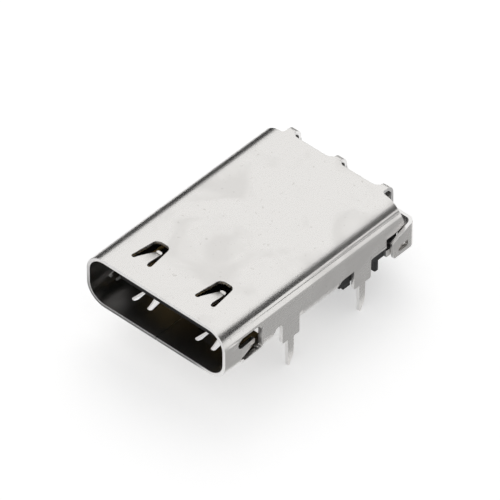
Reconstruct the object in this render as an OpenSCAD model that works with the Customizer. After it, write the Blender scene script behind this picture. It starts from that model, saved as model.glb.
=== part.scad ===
// USB-C socket for a circuit board: one folded steel shell round a moulded body, with a
// tongue, a latch plate, two ground collars and two rows of contacts.
// Origin at the middle of the mouth, in the plane of its rim. +Y runs into the socket,
// +X to the right as seen by the plug, +Z away from the circuit board.

/* [Mouth] */
// Width of the opening inside the shell
mouth_w = 8.34; // [8.2:0.02:8.6]
// Height of the opening inside the shell
mouth_h = 2.56; // [2.44:0.02:2.72]
// Radius of the shell's corners, measured outside
corner_r = 1.1; // [0.8:0.05:1.25]

/* [Shell] */
// Thickness of the shell's steel sheet
sheet = 0.2; // [0.15:0.01:0.25]
// Distance from the roof's rear edge to the outside of the rear cover
roof_setback = 0.65; // [0.55:0.01:0.75]
// Distance from the side walls' rear edge to the outside of the rear cover
side_setback = 0.61; // [0.55:0.01:0.75]
// Length of the bottom wall, rim to rear edge
floor_len = 7.85; // [7.2:0.05:8]
// Width of the butt seam along the bottom wall
seam = 0.03; // [0.02:0.01:0.08]

/* [Springs] */
// Distance of each top and bottom spring from the middle
spring_x = 2; // [1.6:0.05:2.4]
// Distance from the rim to the root of the top and bottom springs
spring_y = 1.25; // [1:0.05:1.6]
// Width over the slot round a top or bottom spring, at the spring's root
spring_w = 1.24; // [1:0.02:1.4]
// Width over the slot round a top or bottom spring, at the spring's tip
spring_tip_w = 0.92; // [0.8:0.02:1.1]
// Length of the slot round a top or bottom spring
spring_len = 1.52; // [1.2:0.02:1.8]
// How far the tip of a top or bottom spring is pressed inwards
spring_drop = 0.34; // [0.2:0.02:0.36]
// Width of each arm of the slots round the top and bottom springs
slot_w = 0.26; // [0.2:0.01:0.3]
// Distance from the rim to the front end of the side slots
side_slot_y = 0.9; // [0.8:0.02:1.2]
// Length of a side slot
side_slot_len = 1.5; // [1.3:0.02:1.6]
// Height of the upper edge of the side slots above the middle of the mouth
side_slot_top = 0.56; // [0.4:0.02:0.64]
// Depth of the lower edge of the side slots below the middle of the mouth
side_slot_depth = 0.9; // [0.7:0.02:1]
// Height of a side spring at its root
side_spring_w = 0.74; // [0.6:0.02:0.8]
// How far the tip of a side spring is pressed inwards
side_spring_drop = 0.24; // [0.1:0.02:0.3]
// How far the wall behind and below a side slot is pressed outwards
lip_rise = 0.1; // [0.06:0.01:0.12]
// Width of the pressed-out lip round a side slot
lip_w = 0.14; // [0.12:0.01:0.3]

/* [Legs] */
// Distance from the rim to the front pair of legs
front_leg_y = 4.5; // [4.2:0.05:4.8]
// Distance from the front legs to the rear legs
leg_pitch = 4.96; // [4.8:0.02:5.1]
// Width of a leg above the board
leg_w = 1.16; // [0.9:0.02:1.3]
// Width of the blade that goes through the board
blade_w = 0.44; // [0.35:0.01:0.6]
// Length of the blade below the board's surface
blade_len = 1.67; // [1.2:0.01:2.2]
// Height of the middle of the mouth above the board
mouth_above_board = 1.68; // [1.6:0.02:1.9]

/* [Rear cover] */
// Space behind the moulding for the contacts' tails, up to the rear cover
cover_gap = 0.71; // [0.6:0.01:0.8]
// Distance between the necks that carry the rear cover
neck_pitch = 2.9; // [2.6:0.05:3]
// Width of a neck
neck_w = 0.42; // [0.36:0.02:0.6]
// Radius of the hollow corners beside the necks
neck_fillet = 0.34; // [0.25:0.01:0.4]
// Outside radius of the fold from the roof to the rear cover
fold_r = 0.5; // [0.4:0.01:0.55]
// Outside radius of the bend from the cover to an arm
arm_bend_r = 0.5; // [0.4:0.02:0.6]
// Height of the arms and the cover plate
cover_h = 1.44; // [1.2:0.02:1.5]
// Length of an arm, from the cover's outside to its front end
arm_len = 1.7; // [1.6:0.02:1.9]
// Length of the window in an arm
window_len = 0.65; // [0.5:0.01:0.75]
// Height of the window in an arm
window_h = 0.37; // [0.3:0.01:0.45]

/* [Moulding] */
// Distance from the rim to the tip of the tongue
tongue_y = 1; // [0.8:0.02:1.2]
// Width of the tongue
tongue_w = 6.69; // [6.5:0.01:6.9]
// Thickness of the tongue
tongue_h = 0.7; // [0.64:0.01:0.76]
// Distance from the rim to the wall at the tongue's root
root_y = 6.2; // [6:0.05:6.4]
// Distance from the rear legs to the back of the moulding
moulding_back = 2.64; // [2.5:0.02:2.9]
// Clearance between the shell and the moulding
fit = 0.03; // [0.01:0.01:0.05]
// Height of the upper carrier, which holds the upper contacts
carrier_h = 0.75; // [0.6:0.05:0.9]
// Distance that the carriers are set back into the moulding
carrier_inset = 0.4; // [0.3:0.05:0.6]
// Distance from the back of the moulding to the rear row of pins
pin_back = 1.8; // [1.6:0.05:2]

/* [Contacts] */
// Distance between neighbouring contacts
contact_pitch = 0.5; // [0.48:0.01:0.52]
// Width of a contact
contact_w = 0.25; // [0.2:0.01:0.3]
// Thickness of the contact strip
contact_t = 0.15; // [0.12:0.01:0.18]
// Length of a lower contact's pin below the board's surface
pin_len = 1; // [0.8:0.02:1.2]
// Distance between the two rows of pins
row_pitch = 1; // [0.8:0.05:1.2]
// Length of an upper contact's tail behind the rear cover
tail_len = 0.35; // [0.3:0.01:0.5]

/* [Grounding] */
// Thickness of the latch plate inside the tongue
plate_t = 0.15; // [0.12:0.01:0.18]
// Thickness of the ground collars' sheet
collar_t = 0.12; // [0.1:0.01:0.16]
// Length of the ground collars
collar_len = 1.15; // [0.9:0.05:1.3]

/* [Hidden] */
$fn = 64;

// Shell, worked out from the mouth
outer_w = mouth_w + 2 * sheet;
outer_h = mouth_h + 2 * sheet;
side_x = outer_w / 2;
top_z = outer_h / 2;
board_z = -mouth_above_board;
past = 0.5;
nick = 0.06;
leg_y = [front_leg_y, front_leg_y + leg_pitch];
// Lengths along the part, each from the one before it
moulding_len = leg_y[1] + moulding_back;
cover_y = moulding_len + cover_gap + sheet;
roof_len = cover_y - roof_setback;
side_len = cover_y - side_setback;
// Legs and the reliefs beside them
relief_top_z = -0.52;
front_relief = 0.5;
rear_relief = 0.32;
relief_r = 0.3;
leg_bottom_x = 1.9;
shoulder_r = 0.1;
tip_flat = 0.14;
tip_cut = 0.4;
taper = 0.03;
tip_z = board_z - blade_len;
// Side slots and springs
side_hinge_y = side_slot_y + 0.25;
side_spring_z = -0.38;
side_corner_r = 0.18;
side_spring_tip = 0.15;
side_tip_lift = 0.04;
side_tip_gap = 0.16;
slot_corner_r = 0.32;
spring_tip = 0.17;
floor_cut_z = -1;
lip_top_z = 0.42;
lip_bottom_z = -1.2;
lip_y = side_slot_y + 0.45;
// Rear end of the side walls: a sloping edge, a window and a tab with a barb
rear_edge_top_y = side_len - 0.22;
rear_edge_z = 0.1;
rear_corner_rise = 0.6;
rear_cut_y = leg_y[1] + leg_w / 2;
rear_cut_z = -0.58;
rear_fillet = 0.16;
tab_y = side_len - 1.28;
tab_bottom_z = -1.16;
tab_bridge = 0.3;
tab_edge = 0.02;
side_window_top_z = -0.05;
side_window_z = -0.7;
// Rear cover
cover_top_z = 0.12;
cover_bottom_z = cover_top_z - cover_h;
neck_hole_z = 0.55;
outer_fillet = 0.14;
arm_gap = 0.03;
arm_x = side_x + arm_gap;
arm_y = cover_y - arm_len;
arm_drop = 0.4;
arm_lean = 0.08;
window_y = side_len - 0.35;
window_z = -0.88;
barb_gap = 0.06;
// Moulding
body_w = mouth_w - 2 * fit;
body_h = mouth_h - 2 * fit;
body_r = corner_r - sheet - fit;
body_bottom_z = board_z + 0.35;
body_lower_y = floor_len + 0.3;
lower_inset = 0.06;
root_h = 1.2;
root_w = tongue_w + 0.25;
foot_w = 0.6;
foot_len = 0.5;
foot_side = 0.08;
foot_y = body_lower_y + 0.37;
peg_w = 0.4;
peg_len = 0.28;
peg_y = rear_cut_y + 0.6;
peg_z = board_z - 0.25;
tongue_chamfer = 0.15;
tongue_corner_r = 0.35;
rear_pin_y = moulding_len - pin_back;
carrier_w = 12 * contact_pitch + carrier_inset;
carrier_y = root_y + carrier_inset;
lower_carrier_y = body_lower_y + carrier_inset / 2;
lower_carrier_end = rear_pin_y + carrier_inset;
// Contacts
contact_z = tongue_h / 2 - contact_t / 2;
contact_y = tongue_y + 0.5;
bend_r = 0.2;
tail_y = moulding_len + cover_gap / 2;
tail_end_y = cover_y + tail_len;
tail_z = board_z + contact_t / 2;
pin_z = board_z - pin_len;
// Latch plate
plate_y = tongue_y + 0.35;
plate_end_y = carrier_y + 1.6;
plate_w = tongue_w;
notch_len = 1.1;
notch_depth = 0.28;

// A shape drawn in X and Z, drawn out from y0 to y1
module along_y(y0, y1) {
    translate([0, y1, 0]) rotate([90, 0, 0]) linear_extrude(y1 - y0) children();
}

// A shape drawn in Y and Z, drawn out from x0 to x1
module along_x(x0, x1) {
    translate([x0, 0, 0]) rotate([90, 0, 90]) linear_extrude(x1 - x0) children();
}

// A shape drawn in X and Y, drawn out from z0 to z1
module along_z(z0, z1) {
    translate([0, 0, z0]) linear_extrude(z1 - z0) children();
}

// A box between two corners
module block(low, high) {
    translate(low) cube(high - low);
}

// A rectangle with round corners, centred
module round_rect(w, h, r) {
    square([w - 2 * r, h], center = true);
    square([w, h - 2 * r], center = true);
    for (x = [-1, 1], y = [-1, 1])
        translate([x * (w / 2 - r), y * (h / 2 - r)]) circle(r);
}

module both_sides() {
    children();
    mirror([1, 0, 0]) children();
}

// Points of an arc round c, from angle a0 to angle a1
function arc(c, r, a0, a1, n = 6) = [for (k = [0:n])
    let (a = a0 + (a1 - a0) * k / n) [c[0] + r * cos(a), c[1] + r * sin(a)]];

// Outline of a strip of thickness t along the middle line path
function unit(v) = v / norm(v);
function side_of(a, b) = let (m = unit(unit(a) + unit(b))) [-m[1], m[0]] / (m * unit(b));
function step(path, i) = path[i + 1] - path[i];
function normal_at(path, i) = let (last = len(path) - 1)
    side_of(step(path, max(i - 1, 0)), step(path, min(i, last - 1)));
function strip(path, t) = let (last = len(path) - 1) concat(
    [for (i = [0:last]) path[i] + normal_at(path, i) * t / 2],
    [for (i = [last:-1:0]) path[i] - normal_at(path, i) * t / 2]
);

// ---- Shell ------------------------------------------------------------------------------

// Opening round a spring, in the plane of its wall, with the spring's root at y = 0
module spring_slot() {
    slot_outline(spring_w / 2, spring_tip_w / 2, spring_len, slot_corner_r);
    for (x = [-1, 1])
        translate([x * (spring_w - slot_w) / 2, 0]) circle(slot_w / 2);
}

// Outline that narrows from half-width root to half-width tip, with round corners
module slot_outline(root, tip, end, r) {
    polygon(concat(
        [[-root, 0]],
        arc([-tip + r, end - r], r, 180, 90),
        arc([tip - r, end - r], r, 90, 0),
        [[root, 0]]
    ));
}

// Outline of the spring itself, which tapers to a round tip
module spring_plan() {
    root = spring_w / 2 - slot_w;
    slot_outline(root, spring_tip, spring_len - slot_w, 0.7 * spring_tip);
    translate([-root, -past]) square([2 * root, past + 0.01]);
}

// Middle line of a spring of length end, bent inwards by drop from a wall of outer face z = 0
function spring_path(end, drop) = [
    [-0.1, -sheet / 2],
    [0.08, -sheet / 2],
    [0.6 * end, -sheet / 2 - 0.62 * drop],
    [end - 0.16, -sheet / 2 - drop],
    [end + 0.1, -sheet / 2 - 0.9 * drop]
];

// Spring bent inwards from a wall whose outer face is at z = 0
module spring() {
    intersection() {
        along_x(-spring_w, spring_w)
            polygon(strip(spring_path(spring_len - slot_w, spring_drop), sheet));
        along_z(-spring_drop - 2 * sheet, 0) spring_plan();
    }
}

// Opening round a side spring, in Y and Z: a high arm above it and a narrow one below it
module side_slot() {
    y1 = side_slot_y + side_slot_len - side_corner_r;
    half = side_spring_w / 2;
    r = (side_slot_top - side_spring_z - half) / 2;
    polygon(concat(
        arc([side_slot_y + r, side_slot_top - r], r, 270, 90),
        arc([y1, side_slot_top - side_corner_r], side_corner_r, 90, 0),
        arc([y1, side_spring_z - half + side_corner_r], side_corner_r, 0, -80),
        [[side_hinge_y + 2 * nick, -side_slot_depth]],
        [[side_hinge_y + nick, side_spring_z - half - nick]],
        [[side_hinge_y, side_spring_z - half]],
        [[side_hinge_y, side_spring_z + half]]
    ));
}

// Outline of a side spring in Y and Z, narrowing towards its tip
module side_spring_plan() {
    half = side_spring_w / 2;
    end = side_slot_y + side_slot_len - side_tip_gap;
    r = 0.7 * side_spring_tip;
    tip_z = side_spring_z + side_tip_lift;
    polygon(concat(
        [[side_hinge_y - nick, side_spring_z + half], [side_hinge_y, side_spring_z + half]],
        arc([end - r, tip_z + side_spring_tip - r], r, 80, 0),
        arc([end - r, tip_z - side_spring_tip + r], r, 0, -80),
        [[side_hinge_y, side_spring_z - half], [side_hinge_y - nick, side_spring_z - half]]
    ));
}

// Side spring: a piece of the wall, turned inwards about its root
module side_spring() {
    reach = side_slot_len - side_tip_gap;
    turn = atan(side_spring_drop / reach);
    intersection() {
        translate([side_x, side_hinge_y, 0]) rotate([0, 0, turn])
            translate([-side_x, -side_hinge_y, 0])
                along_y(side_hinge_y - 0.1, side_hinge_y + reach + 0.5) tube_section();
        along_x(side_x - corner_r, side_x + 0.05) side_spring_plan();
    }
}

// Places of the four springs in the top and bottom walls, with the outer face at z = 0
module at_flat_springs() {
    for (x = [-1, 1], turn = [0, 180])
        rotate([0, turn, 0]) translate([x * spring_x, spring_y, top_z]) children();
}

// Ring of the tube's section, moved outwards by rise
module tube_section(rise = 0) {
    difference() {
        round_rect(outer_w + 2 * rise, outer_h + 2 * rise, corner_r + rise);
        round_rect(mouth_w + 2 * rise, mouth_h + 2 * rise, corner_r - sheet + rise);
    }
}

// Region of the lip round a side slot, smaller by inset on every side
module lip_zone(inset) {
    block([side_x - corner_r, lip_y + inset, lip_bottom_z + inset],
        [side_x + past, side_slot_y + side_slot_len + lip_w - inset, lip_top_z - inset]);
}

// Lip pressed outwards round the rear and lower edge of a side slot
module lip() {
    intersection() {
        along_y(0, front_leg_y) tube_section(lip_rise);
        lip_zone(0);
    }
}

// Hollow that the lip leaves on the inside of the wall
module lip_hollow() {
    intersection() {
        along_y(0, front_leg_y) difference() {
            round_rect(mouth_w + 2 * lip_rise, mouth_h + 2 * lip_rise, corner_r - sheet + lip_rise);
            round_rect(mouth_w - 2 * sheet, mouth_h - 2 * sheet, corner_r - 2 * sheet);
        }
        lip_zone(lip_rise);
    }
}

// Everything behind the sloping rear edge of the side walls and the roof's corners
module rear_trim() {
    corner_z = top_z - corner_r + rear_corner_rise;
    along_x(-side_x - past, side_x + past) polygon([
        [rear_edge_top_y, corner_z],
        [side_len, rear_edge_z],
        [side_len, -top_z - past],
        [side_len + 2, -top_z - past],
        [side_len + 2, corner_z]
    ]);
    block([-side_x - past, rear_edge_top_y, corner_z - 0.01],
        [side_x + past, side_len + 2, top_z + past]);
}

// The sheet wrapped into a tube, open at the mouth, with its slots and reliefs
module shell_tube() {
    difference() {
        union() {
            along_y(0, side_len + 0.2) tube_section();
            both_sides() lip();
        }
        both_sides() lip_hollow();
        at_flat_springs() along_z(-sheet - 0.1, 0.1) spring_slot();
        both_sides() along_x(side_x - corner_r, side_x + past) side_slot();
        block([-seam / 2, -past, -top_z - past], [seam / 2, floor_len + past, 0]);
        // the bottom wall ends early, under the moulding
        block([-outer_w, floor_len, -top_z - past], [outer_w, side_len + 1, floor_cut_z]);
        // the rounded corners end above it, where the rear legs and tabs are flat
        block([-outer_w, leg_y[1] - leg_w / 2, -top_z - past],
            [outer_w, rear_cut_y, relief_top_z]);
        block([-outer_w, rear_cut_y, -top_z - past],
            [outer_w, side_len + 1, rear_cut_z - rear_fillet]);
        both_sides() {
            front_leg_opening();
            rear_leg_opening();
            side_rear_cuts();
        }
        rear_trim();
    }
}

// Opening that the front leg was folded out of, with a relief on each side of the leg
module front_leg_opening() {
    y0 = leg_y[0] - leg_w / 2;
    y1 = leg_y[0] + leg_w / 2;
    block([leg_bottom_x, y0 - front_relief, -top_z - past],
        [side_x + past, y1 + rear_relief, relief_top_z - front_relief / 2]);
    for (span = [[y0 - front_relief, y0], [y1, y1 + rear_relief]]) {
        r = (span[1] - span[0]) / 2;
        along_x(side_x - 0.8, side_x + past) {
            translate([span[0] + r, relief_top_z - 0.1]) circle(r);
            translate([span[0], -top_z]) square([2 * r, top_z + relief_top_z - 0.1]);
        }
    }
}

// Cut in front of the rear leg, with a round upper corner
module rear_leg_opening() {
    y1 = leg_y[1] - leg_w / 2;
    along_x(side_x - corner_r, side_x + past) polygon(concat(
        [[floor_len, -top_z - past]],
        arc([floor_len + relief_r + 0.04, relief_top_z - relief_r], relief_r, 180, 90),
        [[y1, relief_top_z], [y1, -top_z - past]]
    ));
}

// Window and cut-out at the rear of a side wall
module side_rear_cuts() {
    along_x(side_x - corner_r, side_x + past) polygon(concat(
        [[rear_cut_y, -top_z - past]],
        arc([rear_cut_y + rear_fillet, rear_cut_z - rear_fillet], rear_fillet, 180, 90),
        [[tab_y, rear_cut_z], [tab_y, -top_z - past]]
    ));
    block([side_x - corner_r, tab_y + tab_edge, side_window_z],
        [side_x + past, side_len - tab_bridge, side_window_top_z]);
}

// Outline of a leg in Y and Z: a wide part with shoulders on the board, then a blade
module leg_outline(y) {
    w = leg_w / 2;
    b = blade_w / 2;
    r = shoulder_r;
    polygon(concat(
        [[y - w, relief_top_z]],
        arc([y - w + r, board_z + r], r, 180, 270),
        [[y - b, board_z], [y - b + taper, tip_z + nick]],
        [[y - b + 2 * taper, tip_z], [y - b + tip_flat, tip_z]],
        [[y, tip_z + tip_cut / 2], [y + b - 3 * taper, tip_z + tip_cut]],
        [[y + b - taper, tip_z + 1.5 * tip_cut], [y + b, board_z]],
        arc([y + w - r, board_z + r], r, 270, 360),
        [[y + w, relief_top_z]]
    ));
}

module leg(y) {
    along_x(side_x - sheet, side_x) {
        leg_outline(y);
        translate([y - leg_w / 2, relief_top_z]) square([leg_w, -relief_top_z]);
    }
}

// Tab at the rear of a side wall, whose barb catches the arm of the rear cover
module tab() {
    along_x(side_x - sheet, side_x) polygon([
        [tab_y - nick, rear_cut_z + nick],
        [tab_y - nick, rear_cut_z],
        [tab_y, rear_cut_z - nick],
        [tab_y, tab_bottom_z],
        [side_len - nick, tab_bottom_z],
        [side_len, tab_bottom_z + nick],
        [side_len, rear_edge_z],
        [side_len - tab_bridge, rear_edge_z],
        [side_len - tab_bridge, side_window_z],
        [tab_y + tab_edge, side_window_z],
        [tab_y + tab_edge, rear_cut_z + nick]
    ]);
    half = window_len / 2 - barb_gap;
    along_z(window_z - window_h / 2 + barb_gap, window_z + window_h / 2 - barb_gap) polygon([
        [side_x - 0.05, window_y - half],
        [arm_x + 0.1, window_y - half],
        [arm_x + 0.1, window_y - half + 0.12],
        [side_x, window_y + half],
        [side_x - 0.05, window_y + half]
    ]);
}

// Strip folded down from the roof's rear edge to the cover plate, as wide as the necks
module hood_strip() {
    r_mid = fold_r - sheet / 2;
    path = concat(
        [[rear_edge_top_y - 0.3, top_z - sheet / 2]],
        arc([cover_y - fold_r, top_z - fold_r], r_mid, 90, 0, 8),
        [[cover_y - sheet / 2, cover_top_z - 0.2]]
    );
    hood_x = neck_pitch + neck_w / 2 + outer_fillet;
    along_x(-hood_x, hood_x) polygon(strip(path, sheet));
}

// Hole between two necks, from x0 to x1, with round corners on the roof and on the plate
module neck_hole(x0, x1) {
    along_z(top_z - fold_r, top_z + past)
        hole_outline(x0, x1, roof_len, cover_y + past, neck_fillet);
    along_y(cover_y - fold_r, cover_y + past)
        hole_outline(x0, x1, neck_hole_z, top_z + past, neck_fillet);
}

// Rectangle whose two lower corners are round
module hole_outline(x0, x1, low, high, r) {
    polygon(concat(
        arc([x0 + r, low + r], r, 180, 270),
        arc([x1 - r, low + r], r, 270, 360),
        [[x1, high], [x0, high]]
    ));
}

// The necks, with the roof's edge and the plate's edge between them
module hood() {
    out = neck_pitch + neck_w / 2;
    difference() {
        hood_strip();
        for (i = [-1, 0])
            neck_hole(i * neck_pitch + neck_w / 2, (i + 1) * neck_pitch - neck_w / 2);
        both_sides() {
            along_z(top_z - fold_r, top_z + past)
                hole_outline(out, out + 2, rear_edge_top_y, cover_y + past, outer_fillet);
            along_y(cover_y - fold_r, cover_y + past)
                hole_outline(out, out + 2, cover_top_z, top_z + past, outer_fillet);
        }
    }
}

// Plate that closes the rear, and its arm bent forward along one side of the shell
module rear_cover() {
    x_out = arm_x + sheet;
    x_bend = x_out - arm_bend_r;
    y_bend = cover_y - arm_bend_r;
    block([-x_bend, cover_y - sheet, cover_bottom_z], [x_bend, cover_y, cover_top_z]);
    both_sides() {
        translate([x_bend, y_bend, 0]) along_z(cover_bottom_z, cover_top_z) intersection() {
            difference() {
                circle(arm_bend_r);
                circle(arm_bend_r - sheet);
            }
            square(arm_bend_r);
        }
        along_x(arm_x, x_out) difference() {
            polygon([
                [y_bend, cover_top_z],
                [arm_y + nick, cover_top_z - arm_drop],
                [arm_y, cover_top_z - arm_drop - nick],
                [arm_y + arm_lean, cover_bottom_z + nick],
                [arm_y + arm_lean + nick, cover_bottom_z],
                [y_bend, cover_bottom_z]
            ]);
            translate([window_y, window_z]) round_rect(window_len, window_h, nick);
        }
    }
}

module shell() {
    color("silver") {
        shell_tube();
        at_flat_springs() spring();
        both_sides() {
            side_spring();
            for (y = leg_y)
                leg(y);
            tab();
        }
        hood();
        rear_cover();
    }
}

// ---- Moulding ---------------------------------------------------------------------------

// Tongue with a chamfered nose, and the step at its root that the collars sit on
module tongue_shape() {
    h = tongue_h / 2;
    c = tongue_chamfer;
    intersection() {
        along_x(-tongue_w / 2, tongue_w / 2) polygon([
            [tongue_y, -h + c],
            [tongue_y + 2 * c, -h],
            [root_y, -h],
            [root_y, h],
            [tongue_y + 2 * c, h],
            [tongue_y, h - c]
        ]);
        along_z(-1, 1) translate([0, tongue_y + 5])
            round_rect(tongue_w, 10, tongue_corner_r);
    }
    block([-root_w / 2, root_y - collar_len, -root_h / 2],
        [root_w / 2, root_y, root_h / 2]);
}

// Body that fills the shell behind the mouth, with its lower part and feet on the board
module body_shape() {
    along_y(root_y, moulding_len) round_rect(body_w, body_h, body_r);
    lower_x = body_w / 2 - lower_inset;
    block([-lower_x, body_lower_y, body_bottom_z], [lower_x, moulding_len, 0]);
    both_sides() {
        block([lower_x - foot_side - foot_w, foot_y, board_z],
            [lower_x - foot_side, foot_y + foot_len, body_bottom_z]);
        translate([lower_x - peg_w / 2, peg_y + peg_len / 2, 0])
            along_z(peg_z, body_bottom_z) round_rect(peg_w, peg_len, 0.08);
    }
}

module housing() {
    color([0.11, 0.11, 0.12]) difference() {
        union() {
            tongue_shape();
            body_shape();
        }
        upper_carrier_shape();
        lower_carrier_shape();
        latch_plate_shape();
        for (i = [1:12]) {
            upper_contact_shape(i);
            lower_contact_shape(i);
        }
    }
}

module upper_carrier_shape() {
    block([-carrier_w / 2, carrier_y, plate_t / 2],
        [carrier_w / 2, moulding_len, plate_t / 2 + carrier_h]);
}

module lower_carrier_shape() {
    block([-carrier_w / 2, lower_carrier_y, body_bottom_z],
        [carrier_w / 2, lower_carrier_end, -plate_t / 2]);
}

module upper_carrier() {
    color([0.15, 0.15, 0.16]) difference() {
        upper_carrier_shape();
        for (i = [1:12])
            upper_contact_shape(i);
    }
}

module lower_carrier() {
    color([0.15, 0.15, 0.16]) difference() {
        lower_carrier_shape();
        for (i = [1:12])
            lower_contact_shape(i);
    }
}

// ---- Latch plate and ground collars --------------------------------------------------------

// Plate in the middle of the tongue. Its notched edges catch the plug's latches.
module latch_plate_shape() {
    along_z(-plate_t / 2, plate_t / 2) difference() {
        translate([0, (plate_y + plate_end_y) / 2])
            square([plate_w, plate_end_y - plate_y], center = true);
        for (x = [-1, 1])
            translate([x * plate_w / 2, plate_y + 1.3])
                round_rect(2 * notch_depth, notch_len, 0.1);
    }
}

module latch_plate() {
    color([0.72, 0.72, 0.74]) latch_plate_shape();
}

// Sheet folded over the step at the tongue's root: a flat face and two turned-down sides
module collar_shape() {
    along_y(root_y - collar_len, root_y) difference() {
        translate([-root_w / 2 - collar_t, 0.06])
            square([root_w + 2 * collar_t, root_h / 2 + collar_t - 0.06]);
        translate([-root_w / 2, 0]) square([root_w, root_h / 2]);
    }
}

module upper_ground_collar() {
    color([0.78, 0.78, 0.8]) collar_shape();
}

module lower_ground_collar() {
    color([0.78, 0.78, 0.8]) rotate([0, 180, 0]) collar_shape();
}

// ---- Contacts ---------------------------------------------------------------------------

function contact_x(i) = (i - 6.5) * contact_pitch;

// Upper contact: straight through the moulding, down behind it, then flat on the board
module upper_contact_shape(i) {
    path = concat(
        [[contact_y, contact_z]],
        arc([tail_y - bend_r, contact_z - bend_r], bend_r, 90, 0, 4),
        arc([tail_y + bend_r, tail_z + bend_r], bend_r, 180, 270, 4),
        [[tail_end_y, tail_z]]
    );
    along_x(contact_x(i) - contact_w / 2, contact_x(i) + contact_w / 2)
        polygon(strip(path, contact_t));
}

// Lower contact: back to one of two rows of pins, then down through the board
module lower_contact_shape(i) {
    y = rear_pin_y - (i % 2 == 0 ? row_pitch : 0);
    path = concat(
        [[contact_y, -contact_z]],
        arc([y - bend_r, -contact_z - bend_r], bend_r, 90, 0, 4),
        [[y, pin_z]]
    );
    along_x(contact_x(i) - contact_w / 2, contact_x(i) + contact_w / 2)
        polygon(strip(path, contact_t));
}

module contact(row, i) {
    color([0.85, 0.68, 0.32]) {
        if (row == "upper") upper_contact_shape(i);
        else lower_contact_shape(i);
    }
}

shell();
housing();
upper_carrier();
lower_carrier();
latch_plate();
upper_ground_collar();
lower_ground_collar();
for (i = [1:12]) {
    contact("upper", i);
    contact("lower", i);
}
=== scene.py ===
import bpy, bmesh, math
from mathutils import Matrix, Vector
from mathutils.bvhtree import BVHTree


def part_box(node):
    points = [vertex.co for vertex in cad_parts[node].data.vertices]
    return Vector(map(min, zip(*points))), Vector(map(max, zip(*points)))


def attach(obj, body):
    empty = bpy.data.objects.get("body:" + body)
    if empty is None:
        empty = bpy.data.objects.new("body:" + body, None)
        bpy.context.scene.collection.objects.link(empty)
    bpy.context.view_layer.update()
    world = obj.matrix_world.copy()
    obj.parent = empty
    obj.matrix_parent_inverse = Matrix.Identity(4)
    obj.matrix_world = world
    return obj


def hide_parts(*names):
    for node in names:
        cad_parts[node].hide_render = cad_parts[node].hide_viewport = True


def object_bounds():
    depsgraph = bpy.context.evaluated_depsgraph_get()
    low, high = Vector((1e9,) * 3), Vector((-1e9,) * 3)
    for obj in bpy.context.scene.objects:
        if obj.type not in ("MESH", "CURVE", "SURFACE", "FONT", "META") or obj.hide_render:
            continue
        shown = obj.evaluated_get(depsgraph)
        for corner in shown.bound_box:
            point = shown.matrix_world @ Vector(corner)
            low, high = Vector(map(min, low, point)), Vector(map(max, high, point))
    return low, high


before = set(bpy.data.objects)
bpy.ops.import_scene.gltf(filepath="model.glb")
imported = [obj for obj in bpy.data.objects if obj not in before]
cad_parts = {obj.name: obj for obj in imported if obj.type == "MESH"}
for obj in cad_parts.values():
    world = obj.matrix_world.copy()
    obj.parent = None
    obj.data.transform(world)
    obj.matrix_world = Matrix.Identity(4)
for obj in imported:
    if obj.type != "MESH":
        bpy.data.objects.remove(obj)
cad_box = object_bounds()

scene = bpy.context.scene
MM = 0.001

# ---- Shell --------------------------------------------------------------------------------
# One blank of half-hard steel strip, pierced, folded into a tube and closed by a butt seam
# along the bottom. Its springs, legs and rear cover are bent from the same sheet.
# Barrel-plated with satin nickel after stamping, so the sheared edges are plated too.
SHEET = 0.2 * MM
WALL_LIMIT = 1.6 * SHEET
SHELL_BREAK = 0.028 * MM
MOUTH_HALF_W, MOUTH_HALF_H = 4.17 * MM, 1.28 * MM
MOUTH_SLACK = 0.3 * SHEET
SEAM_HALF = 0.02 * MM
SIDEWAYS = 0.9
EDGE_ANGLE = math.radians(28)
FLAT_ANGLE = math.radians(0.4)
WELD = 0.0005 * MM


def welded_copy(node):
    """Bmesh of a CAD node's own mesh, with its loose triangles joined up."""
    bm = bmesh.new()
    bm.from_mesh(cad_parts[node].data)
    bmesh.ops.remove_doubles(bm, verts=bm.verts, dist=WELD)
    return bm


def flattened(bm):
    """Triangles that lie in one plane become one face again."""
    bmesh.ops.dissolve_limit(bm, angle_limit=FLAT_ANGLE, verts=bm.verts, edges=bm.edges)


def mark_edges(bm, edge_break):
    """Full rounding on sharp edges between broad faces, less where a face is narrow."""
    weight = bm.edges.layers.float.new("bevel_weight_edge")
    for edge in bm.edges:
        if len(edge.link_faces) == 2 and edge.calc_face_angle() > EDGE_ANGLE:
            narrowest = min(2 * face.calc_area() / face.calc_perimeter()
                            for face in edge.link_faces)
            edge[weight] = min(1, max(0, narrowest / edge_break - 1))


def softened_piece(name, bm, edge_break):
    """Object with a small bright round along each sharp edge."""
    mark_edges(bm, edge_break)
    mesh = bpy.data.meshes.new(name)
    bm.to_mesh(mesh)
    bm.free()
    mesh.shade_smooth()
    mesh.set_sharp_from_angle(angle=EDGE_ANGLE)
    piece = bpy.data.objects.new(name, mesh)
    scene.collection.objects.link(piece)
    bevel = piece.modifiers.new("edge_break", "BEVEL")
    bevel.width = edge_break
    bevel.segments = 2
    bevel.limit_method = "WEIGHT"
    bevel.use_clamp_overlap = False
    bevel.harden_normals = True
    return piece


def dress(piece, material):
    piece.data.materials.clear()
    piece.data.materials.append(material)


def add_node(tree, kind, inputs=None, **settings):
    """Node with its settings; each input is a plain value or a socket to link from."""
    made = tree.nodes.new(kind)
    for key, value in settings.items():
        setattr(made, key, value)
    for key, value in (inputs or {}).items():
        if isinstance(value, bpy.types.NodeSocket):
            tree.links.new(value, made.inputs[key])
        else:
            made.inputs[key].default_value = value
    return made


def blend_value(tree, factor, a, b):
    return add_node(tree, "ShaderNodeMix", {0: factor, 2: a, 3: b}).outputs[0]


def blend_color(tree, factor, a, b):
    made = add_node(tree, "ShaderNodeMix", {0: factor, 6: a, 7: b}, data_type="RGBA")
    return made.outputs[2]


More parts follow.
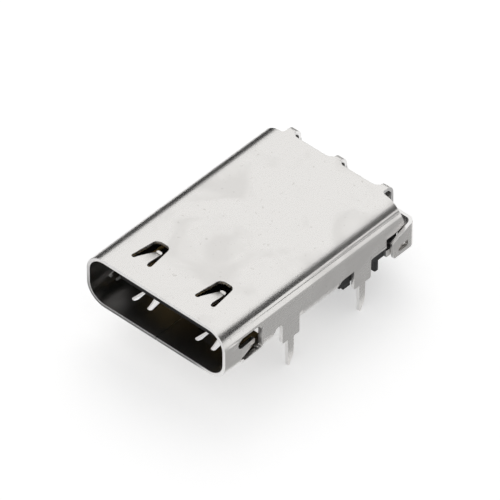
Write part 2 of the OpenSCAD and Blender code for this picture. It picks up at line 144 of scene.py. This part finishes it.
def arithmetic(tree, a, b, operation="ADD"):
    return add_node(tree, "ShaderNodeMath", {0: a, 1: b}, operation=operation).outputs[0]


def new_material(name):
    material = bpy.data.materials.new(name)
    material.use_nodes = True
    tree = material.node_tree
    return material, tree, tree.nodes["Principled BSDF"]


def new_group(name, inputs, outputs):
    """Shader node group with named float inputs and outputs, and a vector Place input."""
    group = bpy.data.node_groups.new(name, "ShaderNodeTree")
    group.interface.new_socket("Place", in_out="INPUT", socket_type="NodeSocketVector")
    for socket in inputs:
        group.interface.new_socket(socket, in_out="INPUT", socket_type="NodeSocketFloat")
    for socket in outputs:
        group.interface.new_socket(socket, in_out="OUTPUT", socket_type="NodeSocketFloat")
    return group, group.nodes.new("NodeGroupInput").outputs, group.nodes.new("NodeGroupOutput")


def place_in_mm(tree):
    """Object coordinates in millimetres."""
    place = add_node(tree, "ShaderNodeTexCoord").outputs["Object"]
    return add_node(tree, "ShaderNodeMapping", {
        "Vector": place, "Scale": (1 / MM, 1 / MM, 1 / MM)}).outputs[0]


# Rolled strip: long fine lines from the rolls, with a fine satin mottle from plating
ALONG_THE_ROLLS = (1, 0.035, 1)
rolled_strip, given, result = new_group(
    "rolled_strip", ["Lines", "Mottle", "Strength"], ["Height", "Gloss change"])
lines_place = add_node(rolled_strip, "ShaderNodeMapping", {
    "Vector": given["Place"], "Scale": ALONG_THE_ROLLS}).outputs[0]
lines = add_node(rolled_strip, "ShaderNodeTexNoise", {
    "Vector": lines_place, "Scale": given["Lines"],
    "Detail": 3, "Roughness": 0.6}).outputs[0]
mottle = add_node(rolled_strip, "ShaderNodeTexNoise", {
    "Vector": given["Place"], "Scale": given["Mottle"],
    "Detail": 5, "Roughness": 0.7}).outputs[0]
height = arithmetic(rolled_strip, lines, mottle)
change = arithmetic(rolled_strip, height, 1, "SUBTRACT")
change = arithmetic(rolled_strip, change, given["Strength"], "MULTIPLY")
rolled_strip.links.new(height, result.inputs["Height"])
rolled_strip.links.new(change, result.inputs["Gloss change"])

# Handling: broad soft clouds where the strip was touched, and a few tiny specks
handling, given, result = new_group("handling", ["Clouds", "Specks"], ["Cloud", "Speck"])
cloud = add_node(handling, "ShaderNodeTexNoise", {
    "Vector": given["Place"], "Scale": given["Clouds"], "Detail": 3,
    "Roughness": 0.55, "Distortion": 0.6}).outputs[0]
cloud = add_node(handling, "ShaderNodeMapRange", {
    "Value": cloud, "From Min": 0.48, "From Max": 0.68}, interpolation_type="SMOOTHSTEP")
speck = add_node(handling, "ShaderNodeTexNoise", {
    "Vector": given["Place"], "Scale": given["Specks"], "Detail": 1}).outputs[0]
speck = add_node(handling, "ShaderNodeMapRange", {
    "Value": speck, "From Min": 0.7, "From Max": 0.78})
handling.links.new(cloud.outputs[0], result.inputs["Cloud"])
handling.links.new(speck.outputs[0], result.inputs["Speck"])

NICKEL = (0.80, 0.785, 0.765, 1)
NICKEL_CLOUD = (0.735, 0.72, 0.70, 1)
# Painted shade: near-black colour for the faces that look into the tube and those in the
# seam's gap
NICKEL_PAINTED_SHADE = (0.20, 0.195, 0.19, 1)
NICKEL_SHEARED = (0.86, 0.85, 0.84, 1)
NICKEL_SPECK = (0.55, 0.53, 0.50, 1)
SATIN, SATIN_INSIDE, SATIN_SHEARED = 0.27, 0.34, 0.3
CLOUD_DULLING = 0.05
SPECK_DEPTH = 0.5

shell_steel, tree, skin = new_material("satin_nickel")
place = place_in_mm(tree)
strip = add_node(tree, "ShaderNodeGroup", node_tree=rolled_strip)
for socket, value in {"Lines": 14, "Mottle": 9, "Strength": 0.05}.items():
    strip.inputs[socket].default_value = value
marks = add_node(tree, "ShaderNodeGroup", node_tree=handling)
for socket, value in {"Clouds": 0.34, "Specks": 5}.items():
    marks.inputs[socket].default_value = value
tree.links.new(place, strip.inputs["Place"])
tree.links.new(place, marks.inputs["Place"])
sheared = add_node(tree, "ShaderNodeAttribute", attribute_name="sheared").outputs["Fac"]
inside = add_node(tree, "ShaderNodeAttribute", attribute_name="inside").outputs["Fac"]
specks = arithmetic(tree, marks.outputs["Speck"], SPECK_DEPTH, "MULTIPLY")
color = blend_color(tree, marks.outputs["Cloud"], NICKEL, NICKEL_CLOUD)
color = blend_color(tree, specks, color, NICKEL_SPECK)
# Painted shade: faces inside the tube and in the seam's gap are painted near black
color = blend_color(tree, inside, color, NICKEL_PAINTED_SHADE)
color = blend_color(tree, sheared, color, NICKEL_SHEARED)
gloss = arithmetic(tree, strip.outputs["Gloss change"], SATIN)
dulled = arithmetic(tree, gloss, CLOUD_DULLING)
gloss = blend_value(tree, marks.outputs["Cloud"], gloss, dulled)
gloss = blend_value(tree, inside, gloss, SATIN_INSIDE)
gloss = blend_value(tree, sheared, gloss, SATIN_SHEARED)
bump = add_node(tree, "ShaderNodeBump", {
    "Height": strip.outputs["Height"], "Strength": 0.5, "Distance": 0.006 * MM})
tree.links.new(color, skin.inputs["Base Color"])
tree.links.new(gloss, skin.inputs["Roughness"])
tree.links.new(bump.outputs[0], skin.inputs["Normal"])
skin.inputs["Metallic"].default_value = 1


def mark_sheet(bm):
    """Marks the sheared faces, and for a painted shade the walls' faces that look into the
    tube and the faces in the seam's gap.
    """
    sheared_layer = bm.faces.layers.float.new("sheared")
    inside_layer = bm.faces.layers.float.new("inside")
    solid = BVHTree.FromBMesh(bm)
    under_the_skin = 0.01 * SHEET
    for face in bm.faces:
        middle, out = face.calc_center_median(), face.normal
        depth = solid.ray_cast(middle - out * under_the_skin, -out)[3]
        in_seam = abs(middle.x) < SEAM_HALF and abs(out.x) > SIDEWAYS
        in_tube = (abs(middle.x) < MOUTH_HALF_W + MOUTH_SLACK
                   and abs(middle.z) < MOUTH_HALF_H + MOUTH_SLACK
                   and middle.x * out.x + middle.z * out.z < 0)
        # Both the seam's gap and the faces looking into the tube get the painted shade mark
        if in_seam:
            face[inside_layer] = 1
        elif depth is None or depth > WALL_LIMIT:
            face[sheared_layer] = 1
        elif in_tube:
            face[inside_layer] = 1


shell_mesh = welded_copy("shell")
mark_sheet(shell_mesh)
flattened(shell_mesh)
shell = softened_piece("folded_shell", shell_mesh, SHELL_BREAK)
dress(shell, shell_steel)
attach(shell, "root")
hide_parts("shell")

# ---- Moulding -----------------------------------------------------------------------------
# Body and tongue in one black glass-filled moulding, pressed into the shell from behind.
# Its eroded mould leaves an even fine grain, and the glass shows as paler flecks.
MOULDED_BREAK = 0.03 * MM
MOULDING_BLACK, MOULDING_FLECK = (0.010, 0.010, 0.011, 1), (0.03, 0.03, 0.032, 1)
FLOW_MARKS = 0.3

moulded_skin, given, result = new_group(
    "moulded_skin", ["Grain", "Flow"], ["Height", "Fleck", "Gloss change"])
grain = add_node(moulded_skin, "ShaderNodeTexVoronoi", {
    "Vector": given["Place"], "Scale": given["Grain"],
    "Randomness": 1}).outputs["Distance"]
flow = add_node(moulded_skin, "ShaderNodeTexNoise", {
    "Vector": given["Place"], "Scale": given["Flow"], "Detail": 3}).outputs[0]
fleck = add_node(moulded_skin, "ShaderNodeMapRange", {
    "Value": grain, "From Min": 0.12, "From Max": 0.02})
change = arithmetic(moulded_skin, flow, 0.5, "SUBTRACT")
change = arithmetic(moulded_skin, change, FLOW_MARKS, "MULTIPLY")
moulded_skin.links.new(grain, result.inputs["Height"])
moulded_skin.links.new(fleck.outputs[0], result.inputs["Fleck"])
moulded_skin.links.new(change, result.inputs["Gloss change"])


def moulded_plastic(name, color, fleck_color, grain, gloss):
    """Black moulding compound with its grain size in parts per millimetre."""
    material, tree, skin = new_material(name)
    texture = add_node(tree, "ShaderNodeGroup", node_tree=moulded_skin)
    tree.links.new(place_in_mm(tree), texture.inputs["Place"])
    texture.inputs["Grain"].default_value = grain
    texture.inputs["Flow"].default_value = 1.5
    flecked = blend_color(tree, texture.outputs["Fleck"], color, fleck_color)
    roughness = arithmetic(tree, texture.outputs["Gloss change"], gloss)
    bump = add_node(tree, "ShaderNodeBump", {
        "Height": texture.outputs["Height"], "Strength": 0.25, "Distance": 0.01 * MM})
    tree.links.new(flecked, skin.inputs["Base Color"])
    tree.links.new(roughness, skin.inputs["Roughness"])
    tree.links.new(bump.outputs[0], skin.inputs["Normal"])
    skin.inputs["Specular IOR Level"].default_value = 0.4
    return material


housing_black = moulded_plastic("moulding_black", MOULDING_BLACK, MOULDING_FLECK, 14, 0.5)
housing_mesh = welded_copy("housing")
flattened(housing_mesh)
housing = softened_piece("moulded_body", housing_mesh, MOULDED_BREAK)
dress(housing, housing_black)
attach(housing, "root")
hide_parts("housing")

# ---- Contact carriers ---------------------------------------------------------------------
# Two smaller mouldings, each shot round one row of contacts before the body is moulded.
# The same compound from another tool, so the skin is finer and a little browner.
CARRIER_BLACK, CARRIER_FLECK = (0.016, 0.015, 0.014, 1), (0.04, 0.037, 0.034, 1)

carrier_black = moulded_plastic("carrier_black", CARRIER_BLACK, CARRIER_FLECK, 20, 0.42)
for node in ("upper_carrier", "lower_carrier"):
    dress(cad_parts[node], carrier_black)

# ---- Latch plate and ground collars -------------------------------------------------------
# Stainless strip: a plate moulded into the middle of the tongue, and two thin collars
# folded over the step at its root. Bare metal, so the roll lines show more than on the shell.
PLATE_BREAK = 0.012 * MM
BARE_STEEL = (0.62, 0.615, 0.61, 1)
BARE_STEEL_DULL = (0.47, 0.465, 0.46, 1)
BARE_STEEL_ROUGH = 0.3

plate_steel, tree, skin = new_material("bare_stainless")
strip = add_node(tree, "ShaderNodeGroup", node_tree=rolled_strip)
for socket, value in {"Lines": 20, "Mottle": 12, "Strength": 0.3}.items():
    strip.inputs[socket].default_value = value
marks = add_node(tree, "ShaderNodeGroup", node_tree=handling)
for socket, value in {"Clouds": 0.8, "Specks": 7}.items():
    marks.inputs[socket].default_value = value
place = place_in_mm(tree)
tree.links.new(place, strip.inputs["Place"])
tree.links.new(place, marks.inputs["Place"])
color = blend_color(tree, marks.outputs["Cloud"], BARE_STEEL, BARE_STEEL_DULL)
gloss = arithmetic(tree, strip.outputs["Gloss change"], BARE_STEEL_ROUGH)
bump = add_node(tree, "ShaderNodeBump", {
    "Height": strip.outputs["Height"], "Strength": 0.12, "Distance": 0.01 * MM})
tree.links.new(color, skin.inputs["Base Color"])
tree.links.new(gloss, skin.inputs["Roughness"])
tree.links.new(bump.outputs[0], skin.inputs["Normal"])
skin.inputs["Metallic"].default_value = 1

for node in ("latch_plate", "upper_ground_collar", "lower_ground_collar"):
    mesh = welded_copy(node)
    flattened(mesh)
    piece = softened_piece("stamped_" + node, mesh, PLATE_BREAK)
    dress(piece, plate_steel)
    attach(piece, "root")
    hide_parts(node)

# ---- Contacts -----------------------------------------------------------------------------
# Twenty-four strips of copper alloy, blanked, coined round along their edges and bent.
# Hard gold where the plug wipes along the tongue, matte tin on the tails that are soldered.
CONTACTS = 12
CONTACT_W, CONTACT_T = 0.25 * MM, 0.15 * MM
CONTACT_PITCH = 0.5 * MM
CONTACT_ROUND = 0.03 * MM
CONTACT_EDGE_ANGLE = math.radians(40)
BEND_R = 0.2 * MM
BEND_STEPS = 4
TAIL_Y = 12.455 * MM
GOLD = (0.86, 0.62, 0.26, 1)
TIN = (0.66, 0.655, 0.64, 1)
GOLD_ROUGH, TIN_ROUGH = 0.2, 0.42
GOLD_END_Y = 6.2 * MM
GOLD_FADE = 0.3 * MM

contact_finish, tree, skin = new_material("gold_and_tin")
strip = add_node(tree, "ShaderNodeGroup", node_tree=rolled_strip)
for socket, value in {"Lines": 26, "Mottle": 18, "Strength": 0.2}.items():
    strip.inputs[socket].default_value = value
tree.links.new(place_in_mm(tree), strip.inputs["Place"])
place = add_node(tree, "ShaderNodeTexCoord").outputs["Object"]
along = add_node(tree, "ShaderNodeSeparateXYZ", {0: place})
tinned = add_node(tree, "ShaderNodeMapRange", {
    "Value": along.outputs["Y"], "From Min": GOLD_END_Y,
    "From Max": GOLD_END_Y + GOLD_FADE}).outputs[0]
color = blend_color(tree, tinned, GOLD, TIN)
polish = blend_value(tree, tinned, GOLD_ROUGH, TIN_ROUGH)
gloss = arithmetic(tree, strip.outputs["Gloss change"], polish)
bump = add_node(tree, "ShaderNodeBump", {
    "Height": strip.outputs["Height"], "Strength": 0.08, "Distance": 0.01 * MM})
tree.links.new(color, skin.inputs["Base Color"])
tree.links.new(gloss, skin.inputs["Roughness"])
tree.links.new(bump.outputs[0], skin.inputs["Normal"])
skin.inputs["Metallic"].default_value = 1

# One row: a strip of rounded section swept along the path, repeated along X
contact_row = bpy.data.node_groups.new("contact_row", "GeometryNodeTree")
sockets = contact_row.interface
sockets.new_socket("Path", in_out="INPUT", socket_type="NodeSocketGeometry")
row_inputs = {}
for name, kind in {"Width": "Float", "Thickness": "Float", "Edge round": "Float",
                   "Pitch": "Float", "Count": "Int", "First X": "Float",
                   "Finish": "Material"}.items():
    row_inputs[name] = sockets.new_socket(
        name, in_out="INPUT", socket_type="NodeSocket" + kind).identifier
sockets.new_socket("Contacts", in_out="OUTPUT", socket_type="NodeSocketGeometry")
given = contact_row.nodes.new("NodeGroupInput").outputs
result = contact_row.nodes.new("NodeGroupOutput")
section = add_node(contact_row, "GeometryNodeCurvePrimitiveQuadrilateral", {
    "Width": given["Width"], "Height": given["Thickness"]})
section = add_node(contact_row, "GeometryNodeFilletCurve", {
    "Curve": section.outputs[0], "Radius": given["Edge round"], "Count": 2,
    "Limit Radius": True}, mode="POLY")
path = add_node(contact_row, "GeometryNodeMeshToCurve", {0: given["Path"]})
swept = add_node(contact_row, "GeometryNodeCurveToMesh", {
    "Curve": path.outputs[0], "Profile Curve": section.outputs[0], "Fill Caps": True})
first = add_node(contact_row, "ShaderNodeCombineXYZ", {"X": given["First X"]})
spacing = add_node(contact_row, "ShaderNodeCombineXYZ", {"X": given["Pitch"]})
places = add_node(contact_row, "GeometryNodeMeshLine", {
    "Count": given["Count"], "Start Location": first.outputs[0],
    "Offset": spacing.outputs[0]})
repeated = add_node(contact_row, "GeometryNodeInstanceOnPoints", {
    "Points": places.outputs[0], "Instance": swept.outputs[0]})
whole = add_node(contact_row, "GeometryNodeRealizeInstances", {0: repeated.outputs[0]})
finished = add_node(contact_row, "GeometryNodeSetMaterial", {
    "Geometry": whole.outputs[0], "Material": given["Finish"]})
contact_row.links.new(finished.outputs[0], result.inputs[0])


def bend(middle_y, middle_z, start, end):
    """Points of a bend in Y and Z round its middle, between two angles in degrees."""
    turns = [math.radians(start + (end - start) * k / BEND_STEPS)
             for k in range(BEND_STEPS + 1)]
    return [(0, middle_y + BEND_R * math.cos(a), middle_z + BEND_R * math.sin(a))
            for a in turns]


def make_row(name, path, first_x, pitch, count, stands_for):
    """Row of like contacts that follow the path, in place of the CAD's contacts."""
    mesh = bpy.data.meshes.new(name + "_path")
    mesh.from_pydata(path, [(k, k + 1) for k in range(len(path) - 1)], [])
    source = bpy.data.objects.new(name + "_path", mesh)
    scene.collection.objects.link(source)
    row = source.modifiers.new("contact_row", "NODES")
    row.node_group = contact_row
    for socket, value in {"Width": CONTACT_W, "Thickness": CONTACT_T,
                          "Edge round": CONTACT_ROUND, "Pitch": pitch, "Count": count,
                          "First X": first_x, "Finish": contact_finish}.items():
        row[row_inputs[socket]] = value
    evaluated = source.evaluated_get(bpy.context.evaluated_depsgraph_get())
    plain = bpy.data.meshes.new_from_object(evaluated)
    plain.name = name
    bpy.data.objects.remove(source)
    plain.shade_smooth()
    plain.set_sharp_from_angle(angle=CONTACT_EDGE_ANGLE)
    piece = bpy.data.objects.new(name, plain)
    scene.collection.objects.link(piece)
    dress(piece, contact_finish)
    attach(piece, "root")
    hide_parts(*stands_for)


upper_low, upper_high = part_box("upper_contact_1")
rear_low, rear_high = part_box("lower_contact_1")
front_low, front_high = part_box("lower_contact_2")
middle_z = upper_high[2] - CONTACT_T / 2
board_top_z = upper_low[2] + CONTACT_T / 2
first_x = upper_low[0] + CONTACT_W / 2

upper_path = [(0, upper_low[1], middle_z)]
upper_path += bend(TAIL_Y - BEND_R, middle_z - BEND_R, 90, 0)
upper_path += bend(TAIL_Y + BEND_R, board_top_z + BEND_R, 180, 270)
upper_path += [(0, upper_high[1], board_top_z)]
make_row("upper_contacts", upper_path, first_x, CONTACT_PITCH, CONTACTS,
         ["upper_contact_%d" % i for i in range(1, CONTACTS + 1)])

for name, low, high, start, first in (
        ("lower_contacts_rear", rear_low, rear_high, first_x, 1),
        ("lower_contacts_front", front_low, front_high, first_x + CONTACT_PITCH, 2)):
    pin_y = high[1] - CONTACT_T / 2
    path = [(0, low[1], -middle_z)] + bend(pin_y - BEND_R, -middle_z - BEND_R, 90, 0)
    path += [(0, pin_y, low[2])]
    make_row(name, path, start, 2 * CONTACT_PITCH, CONTACTS // 2,
             ["lower_contact_%d" % i for i in range(first, CONTACTS + 1, 2)])

# ---- Table --------------------------------------------------------------------------------
# The socket stands free on its four blades on a plain white sheet of matte board.
TABLE_SIZE = 0.6
BOARD_GLOW = 0.42
floor_z = cad_box[0][2]


def seen_directly(tree):
    """1 for camera rays and for those that metal, gloss or clear pieces send on."""
    kind = add_node(tree, "ShaderNodeLightPath").outputs
    seen = arithmetic(tree, kind["Is Camera Ray"], kind["Is Glossy Ray"])
    return arithmetic(tree, seen, kind["Is Transmission Ray"])


table_mesh = bpy.data.meshes.new("table")
table_shape = bmesh.new()
bmesh.ops.create_grid(table_shape, x_segments=1, y_segments=1, size=TABLE_SIZE)
bmesh.ops.translate(table_shape, vec=(0, 0, floor_z), verts=table_shape.verts)
table_shape.to_mesh(table_mesh)
table_shape.free()
table = bpy.data.objects.new("table", table_mesh)
scene.collection.objects.link(table)

white_board, tree, skin = new_material("white_board")
glow = arithmetic(tree, seen_directly(tree), BOARD_GLOW, "MULTIPLY")
tree.links.new(glow, skin.inputs["Emission Strength"])
skin.inputs["Base Color"].default_value = (0.86, 0.86, 0.86, 1)
skin.inputs["Emission Color"].default_value = (1, 1, 1, 1)
skin.inputs["Roughness"].default_value = 0.9
skin.inputs["Specular IOR Level"].default_value = 0
dress(table, white_board)

# ---- Studio -------------------------------------------------------------------------------
# A white tent with one large soft lamp above, and four long cards that only the metal
# mirrors. Two dark ones draw the lines along the shell's rounded corners. Two grey ones
# lie on the table as a painted shadow: they glow at the level of the table's shade and
# darken the shell's side and front in their reflection.
TENT_LIGHT, TENT_SEEN = 0.6, 1.0
LAMP_AIM = Vector((0, 0.006, 0))
DARK, PAINTED_SHADOW_GREY, PAINTED_SHADOW_DEEP_GREY = 0.03, 0.45, 0.12
ALONG = (-100, 200)
BEFORE_MOUTH = (-2.8, -0.2)
on_table = floor_z / MM + 0.02

world = bpy.data.worlds.new("white_tent")
scene.world = world
world.use_nodes = True
tree = world.node_tree
tent = tree.nodes["Background"].inputs
tent["Color"].default_value = (1, 1, 1, 1)
tree.links.new(blend_value(tree, seen_directly(tree), TENT_LIGHT, TENT_SEEN), tent["Strength"])

lamp = bpy.data.lights.new("overhead_lamp", "AREA")
lamp.shape = "RECTANGLE"
lamp.size, lamp.size_y = 0.12, 0.16
lamp.energy = 0.063
overhead = bpy.data.objects.new("overhead_lamp", lamp)
scene.collection.objects.link(overhead)
overhead.location = (-0.08, 0.085, 0.12)
overhead.visible_glossy = False
overhead.rotation_euler = (LAMP_AIM - overhead.location).to_track_quat("-Z", "Y").to_euler()


def studio_card(name, tone, near, far, y_span):
    """Card from one long edge to the other, each given in X and Z, in millimetres."""
    paper, tree, skin = new_material(name)
    skin.inputs["Base Color"].default_value = (0, 0, 0, 1)
    skin.inputs["Roughness"].default_value = 1
    skin.inputs["Specular IOR Level"].default_value = 0
    skin.inputs["Emission Color"].default_value = (tone, tone, tone, 1)
    skin.inputs["Emission Strength"].default_value = 1
    mesh = bpy.data.meshes.new(name)
    corners = [(edge[0] * MM, y * MM, edge[1] * MM) for edge, y in (
        (near, y_span[0]), (near, y_span[1]), (far, y_span[1]), (far, y_span[0]))]
    mesh.from_pydata(corners, [], [(0, 1, 2, 3)])
    card = bpy.data.objects.new(name, mesh)
    scene.collection.objects.link(card)
    dress(card, paper)
    card.visible_camera = False
    card.visible_diffuse = False
    card.visible_shadow = False


studio_card("dark_card_right", DARK, (60, 18), (60, 78), ALONG)
studio_card("dark_card_left", DARK, (-18, on_table), (-18, 9), ALONG)
# Painted shadow: grey cards on the table, seen only by the metal, stand in for the table's
# shade beside and in front of the socket
studio_card("painted_shadow_card_right", PAINTED_SHADOW_GREY, (4.9, on_table), (16, on_table), ALONG)
studio_card("painted_shadow_card_front", PAINTED_SHADOW_DEEP_GREY, (-20, on_table), (1.5, on_table), BEFORE_MOUTH)

# ---- Camera -------------------------------------------------------------------------------
# Looks down on the mouth and the right side from far away, through a long lens.
AZIMUTH, ELEVATION = math.radians(42.398), math.radians(42.958)
DISTANCE = 400 * MM
ACROSS, UPWARD = 4.3585 * MM, 3.0986 * MM
SENSOR = 36
LENS_PER_SENSOR = 17.332
back = Vector((math.sin(AZIMUTH) * math.cos(ELEVATION),
               -math.cos(AZIMUTH) * math.cos(ELEVATION), math.sin(ELEVATION)))
right = Vector((math.cos(AZIMUTH), math.sin(AZIMUTH), 0))
up = back.cross(right)
camera_data = bpy.data.cameras.new("camera")
camera = bpy.data.objects.new("camera", camera_data)
scene.collection.objects.link(camera)
stand = Matrix((right, up, back)).transposed().to_4x4()
stand.translation = DISTANCE * back + ACROSS * right + UPWARD * up
camera.matrix_world = stand
camera_data.sensor_width = SENSOR
camera_data.lens = LENS_PER_SENSOR * SENSOR
camera_data.clip_start = 0.01
scene.camera = camera
scene.view_settings.view_transform = "Standard"
